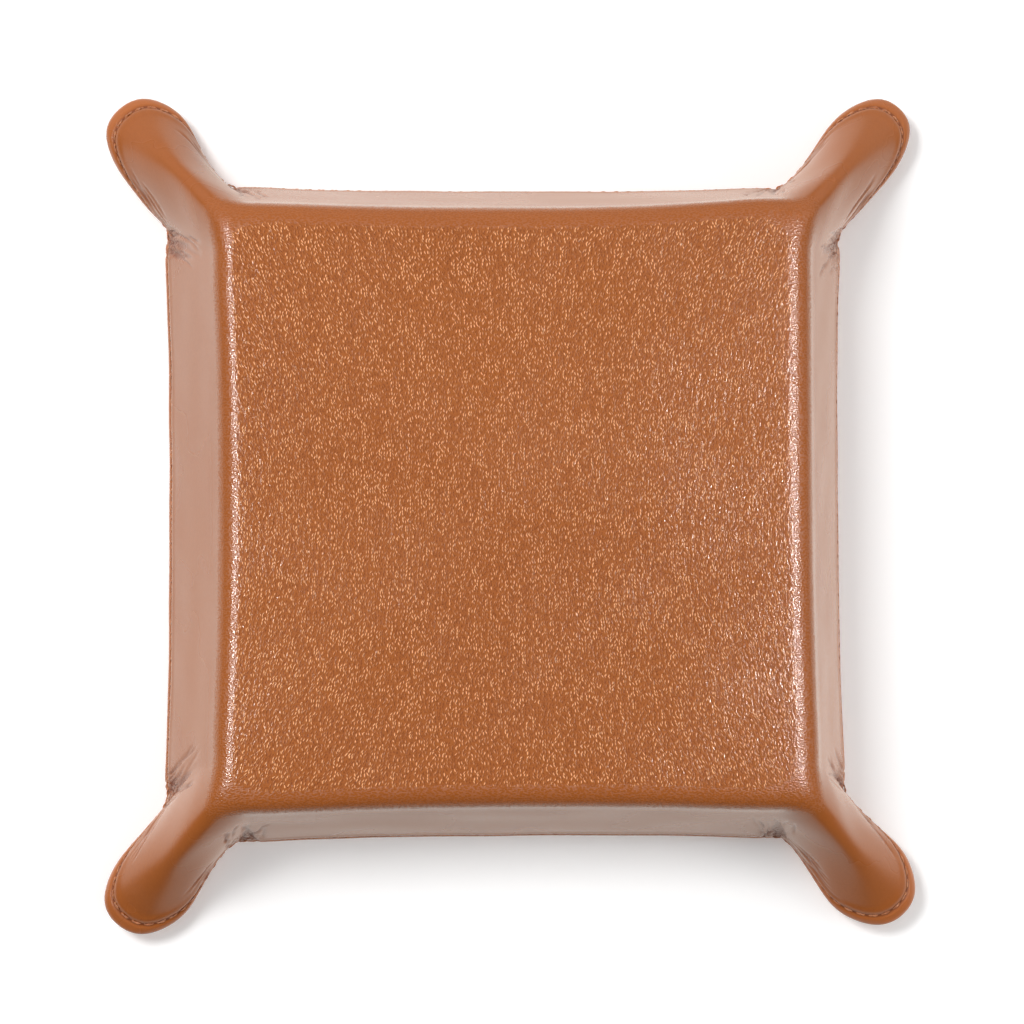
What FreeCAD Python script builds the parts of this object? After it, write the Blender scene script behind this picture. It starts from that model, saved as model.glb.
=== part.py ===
import FreeCAD, Part
import math
import os

# A square leather valet tray: flat base, four leaning walls, and a rounded open ear at each corner.
# Millimetres. The tray stands on its base, +Z up, origin at the middle of the base's underside.

# Base and walls, measured over the outside
base_side = 119.0
base_bow = 0.6
base_edge_round = 5.5
base_corner_round = 1.6
wall_height = 32.0
side_wall_run_out = 11.6
end_wall_run_out = 9.0
rim_bow = 0.5
wall_end_bulge = 0.6
wall_end_length = 6.0
crease_length = 2.0

# Ears: the folded corners, each on a line from a corner of the base
ear_azimuth = 49.0
ear_reach = 35.2
ear_tip_drop = 4.5
ear_foot_half_width = 5.6
ear_belly_half_width = 7.6
ear_neck_half_width = 7.7
ear_bulb_half_width = 9.4
ear_tip_half_width = 6.4
ear_notch_half_width = 8.0
ear_lip_flare = 1.2
# Below this share of the height an ear is a narrow fold, and above it the fold opens into the lip
ear_fold_rise = 0.42
ear_fold_taper = 0.82

# Layers
leather_thickness = 1.2
hem_thickness = 0.8
hem_depth = 6.0
lining_thickness = 0.8
lining_reveal = 1.4
rim_roll = 1.2
base_board_thickness = 2.0
base_board_corner_radius = 8.0
wall_board_thickness = 1.0
wall_board_foot_height = 8.5
wall_board_end_margin = 7.0
board_edge_clearance = 0.6
glue_gap = 0.05
hem_gap = 0.2

# Rim seam
stitch_pitch = 2.7
stitch_length = 2.1
stitch_depth_below_rim = 2.6
thread_diameter = 0.5
thread_lift = 0.06

base_half = base_side / 2
edge_thickness = leather_thickness + hem_thickness
ear_along = FreeCAD.Vector(math.cos(math.radians(ear_azimuth)), math.sin(math.radians(ear_azimuth)), 0)
ear_across = FreeCAD.Vector(-ear_along.y, ear_along.x, 0)
side_wall_slant = math.hypot(wall_height, side_wall_run_out) / wall_height
end_wall_slant = math.hypot(wall_height, end_wall_run_out) / wall_height
fold_rise = wall_height - ear_tip_drop
fold_slant = math.hypot(fold_rise, ear_reach) / fold_rise
fold_draw_in = ear_along.x + ear_along.y


def ease(value):
    """Runs smoothly from 0 at 0 to 1 at 1."""
    value = min(1.0, max(0.0, value))
    return value * value * (3 - 2 * value)


def ear_point(along, across, height):
    """A point given along and across the ear's line from the base corner."""
    place = FreeCAD.Vector(base_half, base_half, height)
    return place + ear_along * along + ear_across * across


def level_line(rise, wall_depth=0.0, ear_depth=0.0, lift=0.0, draw_in=0.0):
    """Poles of a level line round one quarter, from the middle of the side wall to the end wall's.

    rise is 0 at the base and 1 at the rim. The depths and lift go in from the tray's outside, and
    draw_in pulls the line in over the base.
    """
    height = lift + rise * (wall_height - lift)
    side = base_half + rise * side_wall_run_out - wall_depth * side_wall_slant - draw_in
    end = base_half + rise * end_wall_run_out - wall_depth * end_wall_slant - draw_in
    bow = base_bow + rise * (rim_bow - base_bow)
    upper = ease((rise - 0.4) / 0.6)
    lip = ear_lip_flare * ease((rise - 0.88) / 0.12)
    bulge = wall_end_bulge * upper

    opening = ease(rise / 0.4)
    spread_out = ease((rise - ear_fold_rise) / (1 - ear_fold_rise))
    belly = ear_foot_half_width + (ear_belly_half_width - ear_foot_half_width) * opening
    neck = belly + (ear_neck_half_width - ear_belly_half_width) * upper
    bulb = belly + (ear_bulb_half_width - ear_lip_flare - ear_belly_half_width) * upper + lip
    notch = belly + (ear_notch_half_width - ear_belly_half_width) * upper - ear_depth
    shoulder = bulb * ear_tip_half_width / ear_bulb_half_width
    tip = rise * (ear_reach - ear_lip_flare) + lip - ear_depth * fold_slant
    tip -= (1 - opening) * (base_corner_round + draw_in * fold_draw_in)

    def flank(wall, lean, turn):
        """Poles from a wall's end out along one side of the ear."""
        valley = (wall - base_half - notch * lean.y) / lean.x
        points = [ear_point(valley, turn * notch, height)]
        lobes = ((0.09, (neck + belly) / 2, 0), (0.24, neck, 0.1), (0.45, (neck + bulb) / 2, 0.45),
                 (0.67, bulb, 0.8), (0.95, shoulder, 1))
        for share, lobe, drop in lobes:
            taper = notch * (1 - ear_fold_taper * share)
            half_width = taper + (lobe - ear_depth - taper) * spread_out
            level = height - ear_tip_drop * rise * drop
            points.append(ear_point(valley + share * (tip - valley), turn * half_width, level))
        return points

    side_flank = flank(side, ear_along, -1)
    end_flank = flank(end, FreeCAD.Vector(ear_along.y, ear_along.x, 0), 1)
    wall_end = wall_end_length + (crease_length - wall_end_length) * rise
    side_end = side_flank[0].y
    end_end = end_flank[0].x
    poles = [FreeCAD.Vector(side - bow, 0, height),
             FreeCAD.Vector(side - bow, 0.38 * side_end, height),
             FreeCAD.Vector(side - 0.4 * bow, 0.74 * side_end, height),
             FreeCAD.Vector(side + bulge, side_end - wall_end, height)]
    poles += side_flank
    poles.append(ear_point(tip, 0, height - ear_tip_drop * rise))
    poles += reversed(end_flank)
    poles += [FreeCAD.Vector(end_end - wall_end, end + bulge, height),
              FreeCAD.Vector(0.74 * end_end, end - 0.4 * bow, height),
              FreeCAD.Vector(0.38 * end_end, end - bow, height),
              FreeCAD.Vector(0, end - bow, height)]
    return poles


def skin(lines):
    """The smooth surface that follows a stack of level lines."""
    columns = [list(column) for column in zip(*lines)]
    around, up = len(columns), len(lines)
    up_degree = min(3, up - 1)
    surface = Part.BSplineSurface()
    surface.buildFromPolesMultsKnots(
        columns,
        [4] + [1] * (around - 4) + [4],
        [up_degree + 1] + [1] * (up - up_degree - 1) + [up_degree + 1],
        [float(index) for index in range(around - 2)],
        [float(index) for index in range(up - up_degree + 1)],
        False, False, 3, up_degree)
    return surface


def tray_skin(wall_depth, ear_depth, lift, top):
    """The tray's form at a depth inside its outer face, from the flat base up to the height top."""
    def line(rise, draw_in=0.0):
        return level_line(rise, wall_depth, ear_depth(rise), lift, draw_in)

    top_rise = (top - lift) / (wall_height - lift)
    first_rise = base_edge_round / wall_height
    rises = [first_rise] + [first_rise + (top_rise - first_rise) * share for share in (0.36, 0.64, 0.88, 1)]
    return skin([line(0, base_edge_round), line(0)] + [line(rise) for rise in rises])


def crossing(measure, target, last):
    """Where between 0 and last a rising measure passes a target."""
    low, high = 0.0, last
    for _ in range(50):
        middle = (low + high) / 2
        if measure(middle) < target:
            low = middle
        else:
            high = middle
    return low


def height_knot(surface, height):
    """Where up the surface its wall reaches a height."""
    return crossing(lambda up: surface.value(0, up).z, height, surface.bounds()[3])


def part_of(surface, around=None, up=None):
    """A face cut from a surface between two places around it and two places up it."""
    first_around, last_around, first_up, last_up = surface.bounds()
    first_around, last_around = around or (first_around, last_around)
    first_up, last_up = up or (first_up, last_up)
    return surface.toShape(first_around, last_around, first_up, last_up)


def band(first, last):
    """The straight strip between two curves."""
    return Part.makeRuledSurface(first.toShape(), last.toShape())


def mirrored(shape, directions):
    """A copy of a shape mirrored through the origin in each direction given."""
    for direction in directions:
        shape = shape.mirror(FreeCAD.Vector(0, 0, 0), direction)
    return shape


across_x = FreeCAD.Vector(1, 0, 0)
across_y = FreeCAD.Vector(0, 1, 0)
quarters = ((), (across_x,), (across_y,), (across_x, across_y))


def all_round(shapes):
    """Shapes of one quarter, repeated in all four."""
    return [mirrored(shape, quarter) for quarter in quarters for shape in shapes]


def floor_face(surface):
    """The flat face inside the lowest line of a surface, over all four quarters."""
    edges = all_round([surface.vIso(0.0).toShape()])
    return Part.Face(Part.Wire(Part.__sortEdges__(edges)))


def closed_solid(faces):
    shell = Part.Shell(faces)
    shell.sewShape()
    solid = Part.makeSolid(shell)
    if solid.Volume < 0:
        solid.reverse()
    return solid


def outer_leather():
    """The outside skin, turned in over the rim and skived to a thinner hem inside."""
    shoulder = wall_height - rim_roll
    crown = 1 + rim_roll / 3 / wall_height
    outside = tray_skin(0, lambda rise: 0, 0, shoulder)
    inside = tray_skin(leather_thickness, lambda rise: leather_thickness, leather_thickness, shoulder)
    hem = tray_skin(edge_thickness, lambda rise: edge_thickness, leather_thickness, shoulder)
    hem_end = height_knot(hem, wall_height - hem_depth)
    top = outside.bounds()[3]
    roll = skin([[column[-1] for column in outside.getPoles()],
                 level_line(crown),
                 level_line(crown, edge_thickness, edge_thickness),
                 [column[-1] for column in hem.getPoles()]])
    quarter = [part_of(outside),
               part_of(roll),
               part_of(hem, up=(hem_end, top)),
               band(hem.vIso(hem_end), inside.vIso(hem_end)),
               part_of(inside, up=(0, hem_end))]
    return closed_solid(all_round(quarter) + [floor_face(outside), floor_face(inside)])


def lining_ear_depth(rise):
    """The lining lies on the leather, and over the hem near the rim."""
    over_hem = ease((rise - 0.5) / 0.2)
    return leather_thickness + glue_gap + over_hem * (hem_thickness - glue_gap + hem_gap)


lining_wall_depth = leather_thickness + wall_board_thickness + 2 * glue_gap
lining_lift = leather_thickness + base_board_thickness + 2 * glue_gap
lining_top = wall_height - lining_reveal


def lining_face(inward):
    """A face of the lining, inward from the one that is glued down."""
    return tray_skin(lining_wall_depth + inward, lambda rise: lining_ear_depth(rise) + inward,
                     lining_lift + inward, lining_top)


def lining():
    """The inside skin over the boards, cut off just below the rim's roll."""
    outside, inside = lining_face(0), lining_face(lining_thickness)
    top = outside.bounds()[3]
    quarter = [part_of(outside), part_of(inside), band(outside.vIso(top), inside.vIso(top))]
    return closed_solid(all_round(quarter) + [floor_face(outside), floor_face(inside)])


def base_board():
    """The stiffener under the lining, flat on the leather inside the base's rounded edges."""
    side = 2 * (base_half - base_edge_round - base_bow - leather_thickness - board_edge_clearance)
    corner = FreeCAD.Vector(-side / 2, -side / 2, leather_thickness + glue_gap)
    board = Part.makeBox(side, side, base_board_thickness, corner)
    upright = [edge for edge in board.Edges if edge.BoundBox.ZLength > base_board_thickness / 2]
    return board.makeFillet(base_board_corner_radius, upright)


def wall_board(faces, ends, levels, middle_plane):
    """One wall's stiffener: the space between two faces, on both sides of the wall's middle."""
    half = [part_of(face, ends, levels) for face in faces]
    for level in levels:
        lines = [face.vIso(level) for face in faces]
        for line in lines:
            line.segment(*ends)
        half.append(band(*lines))
    far_end = ends[1] if ends[0] == 0 else ends[0]
    lines = [face.uIso(far_end) for face in faces]
    for line in lines:
        line.segment(*levels)
    half.append(band(*lines))
    return closed_solid(half + [mirrored(face, (middle_plane,)) for face in half])


def wall_boards():
    """The four wall stiffeners, by wall, between the leather and the lining and below the hem."""
    depth = leather_thickness + glue_gap
    faces = [tray_skin(depth + inward, lambda rise: depth, leather_thickness, wall_height - rim_roll)
             for inward in (0, wall_board_thickness)]
    levels = (height_knot(faces[0], wall_board_foot_height),
              height_knot(faces[0], wall_height - hem_depth - board_edge_clearance))
    last = faces[0].bounds()[1]
    length = base_half - wall_board_end_margin
    side_end = crossing(lambda around: faces[0].value(around, levels[0]).y, length, last)
    end_end = crossing(lambda around: faces[0].value(last - around, levels[0]).x, length, last)
    right = wall_board(faces, (0.0, side_end), levels, across_y)
    back = wall_board(faces, (last - end_end, last), levels, across_x)
    return {"right": right, "left": mirrored(right, (across_x,)),
            "back": back, "front": mirrored(back, (across_y,))}


def stitch():
    """One stitch, a short round-ended length of thread along X."""
    radius = thread_diameter / 2
    straight = stitch_length / 2 - radius
    bend = radius * math.sqrt(0.5)
    outline = [Part.makeLine((-straight - radius, 0, 0), (straight + radius, 0, 0)),
               Part.Arc(FreeCAD.Vector(straight + radius, 0, 0), FreeCAD.Vector(straight + bend, bend, 0),
                        FreeCAD.Vector(straight, radius, 0)).toShape(),
               Part.makeLine((straight, radius, 0), (-straight, radius, 0)),
               Part.Arc(FreeCAD.Vector(-straight, radius, 0), FreeCAD.Vector(-straight - bend, bend, 0),
                        FreeCAD.Vector(-straight - radius, 0, 0)).toShape()]
    return Part.Face(Part.Wire(outline)).revolve(FreeCAD.Vector(0, 0, 0), FreeCAD.Vector(1, 0, 0), 360)


def seam(surface, outward):
    """A row of stitches on a surface, the same distance below the rim all the way round."""
    level = height_knot(surface, wall_height - stitch_depth_below_rim)
    line = surface.vIso(level).toShape()
    count = round(line.Length / stitch_pitch)
    holes = line.discretize(Number=count + 1)
    one_stitch = stitch()
    row = []
    for start, finish in zip(holes, holes[1:]):
        middle = (start + finish) / 2
        normal = surface.normal(*surface.parameter(middle)) * outward
        along = (finish - start).normalize()
        place = middle + normal * (thread_diameter / 2 + thread_lift)
        turn = FreeCAD.Rotation(along, FreeCAD.Vector(), normal, "XZY")
        laid = one_stitch.copy()
        laid.Placement = FreeCAD.Placement(place, turn)
        row.append(laid)
    return Part.makeCompound(all_round(row))


def write(name, shape):
    if not shape.isValid():
        raise ValueError(name + " is not a valid solid")
    shape.exportStep("parts/" + name + ".step")


def main():
    os.makedirs("parts", exist_ok=True)
    write("outer_leather", outer_leather())
    write("lining", lining())
    write("base_board", base_board())
    for wall, board in wall_boards().items():
        write("wall_board_" + wall, board)
    write("rim_thread_outer", seam(tray_skin(0, lambda rise: 0, 0, wall_height - rim_roll), 1))
    write("rim_thread_inner", seam(lining_face(lining_thickness), -1))


main()
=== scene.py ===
import math
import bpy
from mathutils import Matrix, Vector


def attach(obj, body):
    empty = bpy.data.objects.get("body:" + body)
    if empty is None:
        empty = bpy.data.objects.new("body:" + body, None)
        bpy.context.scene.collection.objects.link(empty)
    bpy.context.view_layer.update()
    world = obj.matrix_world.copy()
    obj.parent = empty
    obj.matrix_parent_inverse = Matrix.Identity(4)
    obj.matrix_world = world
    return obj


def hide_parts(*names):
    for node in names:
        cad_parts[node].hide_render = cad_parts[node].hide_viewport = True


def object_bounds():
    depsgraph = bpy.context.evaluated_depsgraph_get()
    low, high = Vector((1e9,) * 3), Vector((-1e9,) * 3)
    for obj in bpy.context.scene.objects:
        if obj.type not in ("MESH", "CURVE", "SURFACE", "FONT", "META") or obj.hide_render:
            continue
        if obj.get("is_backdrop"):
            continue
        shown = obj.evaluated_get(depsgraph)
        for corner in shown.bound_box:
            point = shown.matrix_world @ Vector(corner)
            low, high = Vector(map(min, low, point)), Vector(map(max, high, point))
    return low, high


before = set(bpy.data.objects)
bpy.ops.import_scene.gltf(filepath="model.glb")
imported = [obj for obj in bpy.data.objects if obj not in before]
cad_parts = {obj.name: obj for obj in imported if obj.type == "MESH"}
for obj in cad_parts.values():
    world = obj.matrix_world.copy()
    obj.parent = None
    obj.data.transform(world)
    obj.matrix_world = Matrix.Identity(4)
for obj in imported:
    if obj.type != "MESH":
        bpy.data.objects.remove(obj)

from types import SimpleNamespace

import bpy
import numpy as np
from mathutils import Matrix, Vector
from mathutils.geometry import delaunay_2d_cdt

# A square leather valet tray with a rounded open ear folded out at each corner.
# It stands upright on its base, +Z up. Sizes are millimetres until a mesh is made.
# The photograph looks straight at the tray's underside, so the camera stands below the tray.

cad_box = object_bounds()
MM = 0.001

# Base and walls, measured over the outside
base_side = 119.0
base_edge_first_rise = 4.5
base_corner_round = 1.6
wall_height = 32.0
rim_upright = 2.2
# How far the middle of each wall stands from the tray's middle, at its foot and at its rim
foot_reach = {"right": 59.1, "left": 57.9, "back": 59.5, "front": 59.3}
rim_reach = {"right": 69.6, "left": 70.9, "back": 67.8, "front": 67.6}
# How far in from its foot each wall's rounding over the base begins
edge_round = {"right": 4.4, "left": 3.4, "back": 5.0, "front": 5.0}
rim_bow = 0.5
wall_end_bulge = 0.6
wall_end_length = 6.0
crease_length = 2.0

# Layers
leather_thickness = 1.2
hem_thickness = 0.8
hem_depth = 6.0
lining_thickness = 0.8
lining_reveal = 1.4
rim_roll = 1.2
base_board_thickness = 2.0
wall_board_thickness = 1.0
glue_gap = 0.05
hem_gap = 0.2
# The lining lies over the wall boards, so its feet stand out no further than this at a corner
lining_corner_reach = (60.0, 60.7)

# Ears, with a pair of half widths for the flank beside the side wall and the one beside the end wall
ear_tip_drop = 4.5
ear_foot_half_width = 5.6
ear_lip_flare = 1.2
# Below this share of the height an ear is a narrow fold, and above it the fold opens into the rounded lip
ear_fold_rise = 0.42
ear_fold_taper = 0.82
# An ear's foot widens up to the first of these shares of the height, and its lip flares above the second
ear_foot_rise = 0.4
ear_lip_rise = 0.88
# Heights of the level lines up a wall, as shares of the way from its foot to its top
level_shares = (0, 0.18, 0.42, 0.68, 0.89, 1)
# Where along half a wall its line is held straight, and where it starts to bow
straight_share = 0.38
bow_share = 0.74
bow_kept = 0.4


def ear(x, y, reach, azimuth, tip, neck, bulb, notch, belly, corner):
    """One corner's ear, with the signs of X and Y there and how far the two walls' feet stand out at it."""
    side, end = "right" if x > 0 else "left", "back" if y > 0 else "front"
    foot = (foot_reach[side], foot_reach[end])
    rim = (rim_reach[side], rim_reach[end])
    edge = (edge_round[side], edge_round[end])
    return SimpleNamespace(**locals())


ears = [ear(1, 1, reach=35.1, azimuth=48.5, tip=6.0, neck=(8.4, 7.9), bulb=(9.9, 10.6),
            notch=(8.5, 8.4), belly=(7.8, 6.9), corner=(59.9, 60.5)),
        ear(-1, 1, reach=35.2, azimuth=50.0, tip=6.1, neck=(8.4, 7.2), bulb=(9.1, 10.1),
            notch=(9.8, 8.5), belly=(8.0, 7.0), corner=(59.0, 60.5)),
        ear(-1, -1, reach=34.4, azimuth=49.1, tip=6.2, neck=(9.4, 6.2), bulb=(9.2, 9.9),
            notch=(10.6, 6.9), belly=(7.7, 6.6), corner=(59.0, 60.2)),
        ear(1, -1, reach=36.2, azimuth=47.5, tip=5.8, neck=(8.7, 6.7), bulb=(8.8, 9.3),
            notch=(9.9, 7.7), belly=(7.6, 7.0), corner=(59.2, 61.5))]

# Rim seam
stitch_pitch = 2.7
stitch_length = 2.1
stitch_depth_below_rim = 2.6
ply_radius = 0.12
ply_offset = 0.10
groove_depth = 0.3
groove_width = 0.5
lining_groove_depth = 0.12
lining_groove_width = 0.6
# The leather and the lining swell a little beside the seam: how high, how far below it and how wide
swell_below = (0.14, 1.5, 0.9)
swell_above = (0.08, -1.1, 0.6)
lining_swell = (0.06, 1.4, 0.8)
# The leather is rubbed above the seam, fully from this far up
rubbed_fade = 1.2
# Folds stop this far from the seam, and are whole again after this much more
seam_clearance = 0.4
seam_fade = 0.8
# A stitch dips into its holes at both ends, where its twisted plies are slimmer. No two are quite alike
stitch_length_vary = 0.03
stitch_slant = 0.05
stitch_rings = 13
ply_sides = 6
stitch_sink = 0.02
stitch_dip = 0.36
ply_half_twist = 2.6
ply_taper = 0.35

# Mesh spacing, how far off a crease, the rim and the foot it widens, and over what length
wall_spacing = 1.1
up_spacing = 0.85
ear_spacing = 0.6
crease_spacing = 0.3
crease_zone = 3.5
rim_spacing = 0.26
rim_zone = 6.5
foot_spacing = 0.6
foot_zone = 8.0
zone_fade = 4.0
rim_zone_fade = 3.0
floor_spacing = 3.0
# The lining's spacing: round the walls, the ears and the creases, and up the wall, its foot and its rim
lining_around_spacing = (1.6, 0.9, 0.5)
lining_up_spacing = (1.3, 0.9, 0.4)
# Rows of the faces that lie hidden, of the hem and of the rim's roll
hidden_rows = 10
hem_rows = 7
roll_rows = 9

# Folds, and the seeds that set them and the stitches
deepest_fold = 0.6
deepest_lining_fold = 0.5
lining_fold_share = 0.5
# The crease between a wall and an ear, with its start, end and fade, and the fine folds that fan out
# from it, narrower at the foot. Places along them are shares of the wall's height
crease_depth = 0.45
crease_half_width = 0.55
crease_wander = 0.25
crease_run = (0.35, 1.3, 0.4)
pinch_folds = 14
pinch_reach = 4.2
pinch_foot = 0.35
pinch_lean = 7.0
pinch_depth = (0.14, 0.34)
pinch_width = (0.2, 0.4)
pinch_start = (0.25, 0.7)
pinch_length = (0.25, 0.6)
pinch_fade = 0.12
# Where the leather is pinched enough to crack: how far round, and how far below the rim
cracked_reach = 3.2
cracked_depth = 4.5
# The folds beside an ear's rim
neck_folds = 7
neck_below_rim = (3.0, 9.0)
neck_depth = (0.08, 0.24)
neck_width = (0.35, 0.6)
neck_start = (1.5, 9)
neck_length = (6, 13)
neck_fade = 3
neck_lean = 0.12
neck_wander = 0.25
leather_crease_seed = 11
neck_seed = 31
lining_crease_seed = 51
outer_seam_seed = 71
inner_seam_seed = 72
# Soft waves in the leather's outside, which grow from the base up to a height and then stay
wave_size = 16.0
wave_height = 0.06
wave_grown_at = 9.0
wave_seed = 5

base_half = base_side / 2
edge_thickness = leather_thickness + hem_thickness
upright_rise = 1 - rim_upright / wall_height
shoulder_height = wall_height - rim_roll
lining_wall_depth = leather_thickness + wall_board_thickness + 2 * glue_gap
lining_lift = leather_thickness + base_board_thickness + 2 * glue_gap
lining_top = wall_height - lining_reveal


def ease(value):
    """Runs smoothly from 0 at 0 to 1 at 1."""
    value = np.clip(value, 0.0, 1.0)
    return value * value * (3 - 2 * value)


def bump(value, width):
    """A smooth hump, 1 at 0."""
    return np.exp(-(value / width) ** 2)


# The tray's form

def level_line(ear, rise, wall_depth=0.0, ear_depth=0.0, lift=0.0, draw_in=0.0):
    """Poles of a level line round one quarter, from the middle of the side wall to the end wall's.

    rise is 0 at the base and 1 at the rim. The depths and lift go in from the tray's outside, and
    draw_in, from 0 to 1, pulls the line in over the base to where the edge's rounding begins.
    """
    turn = math.radians(ear.azimuth)
    along = np.array((math.cos(turn), math.sin(turn)))
    across = np.array((-along[1], along[0]))
    fold_rise = wall_height - ear_tip_drop
    fold_slant = math.hypot(fold_rise, ear.reach) / fold_rise
    height = lift + rise * (wall_height - lift)
    lean = min(rise / upright_rise, 1.0)
    walls, bows = [], []
    for middle_foot, corner_foot, middle_rim, edge in zip(ear.foot, ear.corner, ear.rim, ear.edge):
        slant = math.hypot(wall_height, middle_rim - middle_foot) / wall_height
        middle = middle_foot + (middle_rim - middle_foot) * lean
        bows.append(corner_foot - middle_foot + (rim_bow - corner_foot + middle_foot) * lean)
        walls.append(middle + bows[-1] - wall_depth * slant - draw_in * edge)
    upper = ease((rise - ear_foot_rise) / (1 - ear_foot_rise))
    opening = ease(rise / ear_foot_rise)
    spread_out = ease((rise - ear_fold_rise) / (1 - ear_fold_rise))
    lip = ear_lip_flare * ease((rise - ear_lip_rise) / (1 - ear_lip_rise))
    bulge = wall_end_bulge * upper
    tip = rise * (ear.reach - ear_lip_flare) + lip - ear_depth * fold_slant
    tip -= (1 - opening) * (base_corner_round + draw_in * along @ ear.edge)

    def ear_point(reach, width, level):
        x, y = base_half + along * reach + across * width
        return (x, y, level)

    def flank(which, turn):
        """Poles from a wall's end out along one side of the ear."""
        belly = ear_foot_half_width + (ear.belly[which] - ear_foot_half_width) * opening
        neck = belly + (ear.neck[which] - ear.belly[which]) * upper
        bulb = belly + (ear.bulb[which] - ear_lip_flare - ear.belly[which]) * upper + lip
        notch = belly + (ear.notch[which] - ear.belly[which]) * upper - ear_depth
        shoulder = bulb * ear.tip / ear.bulb[which]
        way = along if which == 0 else along[::-1]
        valley = (walls[which] - base_half - notch * way[1]) / way[0]
        points = [ear_point(valley, turn * notch, height)]
        # Each lobe has its share of the way out to the tip, its half width and its share of the tip's drop
        lobes = ((0.09, (neck + belly) / 2, 0), (0.24, neck, 0.1), (0.45, (neck + bulb) / 2, 0.45),
                 (0.67, bulb, 0.8), (0.95, shoulder, 1))
        for share, lobe, drop in lobes:
            taper = notch * (1 - ear_fold_taper * share)
            half_width = taper + (lobe - ear_depth - taper) * spread_out
            level = height - ear_tip_drop * rise * drop
            points.append(ear_point(valley + share * (tip - valley), turn * half_width, level))
        return points

    side_flank, end_flank = flank(0, -1), flank(1, 1)
    side, end = walls
    wall_end = wall_end_length + (crease_length - wall_end_length) * rise
    side_end, end_end = side_flank[0][1], end_flank[0][0]
    poles = [(side - bows[0], 0, height), (side - bows[0], straight_share * side_end, height),
             (side - bow_kept * bows[0], bow_share * side_end, height),
             (side + bulge, side_end - wall_end, height)]
    poles += side_flank + [ear_point(tip, 0, height - ear_tip_drop * rise)] + end_flank[::-1]
    poles += [(end_end - wall_end, end + bulge, height),
              (bow_share * end_end, end - bow_kept * bows[1], height),
              (straight_share * end_end, end - bows[1], height), (0, end - bows[1], height)]
    return np.array(poles)


def weights(count, places, degree=3):
    """How much each pole of a smooth line with evenly spaced knots counts at places from 0 to 1."""
    knots = np.concatenate([np.zeros(degree), np.linspace(0, 1, count - degree + 1), np.ones(degree)])
    places = np.clip(places, 0, 1 - 1e-9)[:, None]
    share = ((places >= knots[:-1]) & (places < knots[1:])).astype(float)
    for order in range(1, degree + 1):
        rise, fall = knots[order:-1] - knots[:-order - 1], knots[order + 1:] - knots[1:-order]
        low = (places - knots[:-order - 1]) * np.divide(1, rise, out=np.zeros_like(rise), where=rise > 0)
        high = (knots[order + 1:] - places) * np.divide(1, fall, out=np.zeros_like(fall), where=fall > 0)
        share = low * share[:, :-1] + high * share[:, 1:]
    return share


def surface(lines, around, up):
    """Points of the smooth surface over a stack of level lines: a row for each place up it."""
    return np.einsum("vi,uj,ijk->vuk", weights(len(lines), up), weights(lines.shape[1], around), lines)


def tray_lines(ear, wall_depth, ear_depth, lift, top):
    """The level lines of the tray's form at a depth inside its outer face, up to the height top."""
    def line(rise, draw_in=0.0):
        return level_line(ear, rise, wall_depth, ear_depth(rise), lift, draw_in)

    top_rise = (top - lift) / (wall_height - lift)
    first = base_edge_first_rise / wall_height
    rises = [first + (top_rise - first) * share for share in level_shares]
    return np.array([line(0, 1.0), line(0)] + [line(rise) for rise in rises])


def outer_lines(ear):
    return tray_lines(ear, 0, lambda rise: 0, 0, shoulder_height)


def inner_lines(ear, depth):
    return tray_lines(ear, depth, lambda rise: depth, leather_thickness, shoulder_height)


def lining_ear_depth(rise):
    """The lining lies on the leather, and over the hem near the rim."""
    over_hem = ease((rise - 0.5) / 0.2)
    return leather_thickness + glue_gap + over_hem * (hem_thickness - glue_gap + hem_gap)


def lining_lines(ear, inward):
    """The lining's level lines: its hidden face where inward is 0, and the face that shows further in."""
    corner = np.minimum(ear.corner, lining_corner_reach)
    over_boards = SimpleNamespace(**{**vars(ear), "corner": corner})
    return tray_lines(over_boards, lining_wall_depth + inward, lambda rise: lining_ear_depth(rise) + inward,
                      lining_lift + inward, lining_top)


def shown_lining_lines(ear):
    return lining_lines(ear, lining_thickness)


def roll_lines(ear):
    """The rim's roll, from the outside skin over to the hem."""
    crown = 1 + rim_roll / 3 / wall_height
    return np.array([outer_lines(ear)[-1], level_line(ear, crown),
                     level_line(ear, crown, edge_thickness, edge_thickness),
                     inner_lines(ear, edge_thickness)[-1]])


def path_length(points):
    """How far along its first axis each point of a grid lies."""
    steps = np.linalg.norm(np.diff(points, axis=0), axis=-1)
    return np.concatenate([np.zeros_like(steps[:1]), np.cumsum(steps, axis=0)])


def spread(line, spacing):
    """Places from 0 to 1 along an evenly sampled line, apart by about the spacing wanted at each."""
    length = path_length(line)
    count = np.concatenate([[0], np.cumsum(np.diff(length) / ((spacing[1:] + spacing[:-1]) / 2))])
    steps = np.linspace(0, count[-1], math.ceil(count[-1]) + 1)
    return np.interp(steps, count, np.linspace(0, 1, len(line)))


FINE = np.linspace(0, 1, 1201)
POLES_AROUND = 21
# Where round a quarter the two creases are
CREASES = (3 / (POLES_AROUND - 3), 15 / (POLES_AROUND - 3))


def around_places(wall, ear_flank, crease):
    """Places round a quarter, closer together on the ear and closest at its creases."""
    rim = surface(outer_lines(ears[0]), FINE, np.array([1.0]))[0]
    length = path_length(rim)
    spacing = np.full(len(FINE), wall)
    first, last = np.interp(CREASES, FINE, length)
    spacing[(length > first) & (length < last)] = ear_flank
    from_crease = np.minimum(abs(length - first), abs(length - last))
    near = ease((from_crease - crease_zone) / zone_fade)
    return spread(rim, crease + (spacing - crease) * near)


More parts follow.
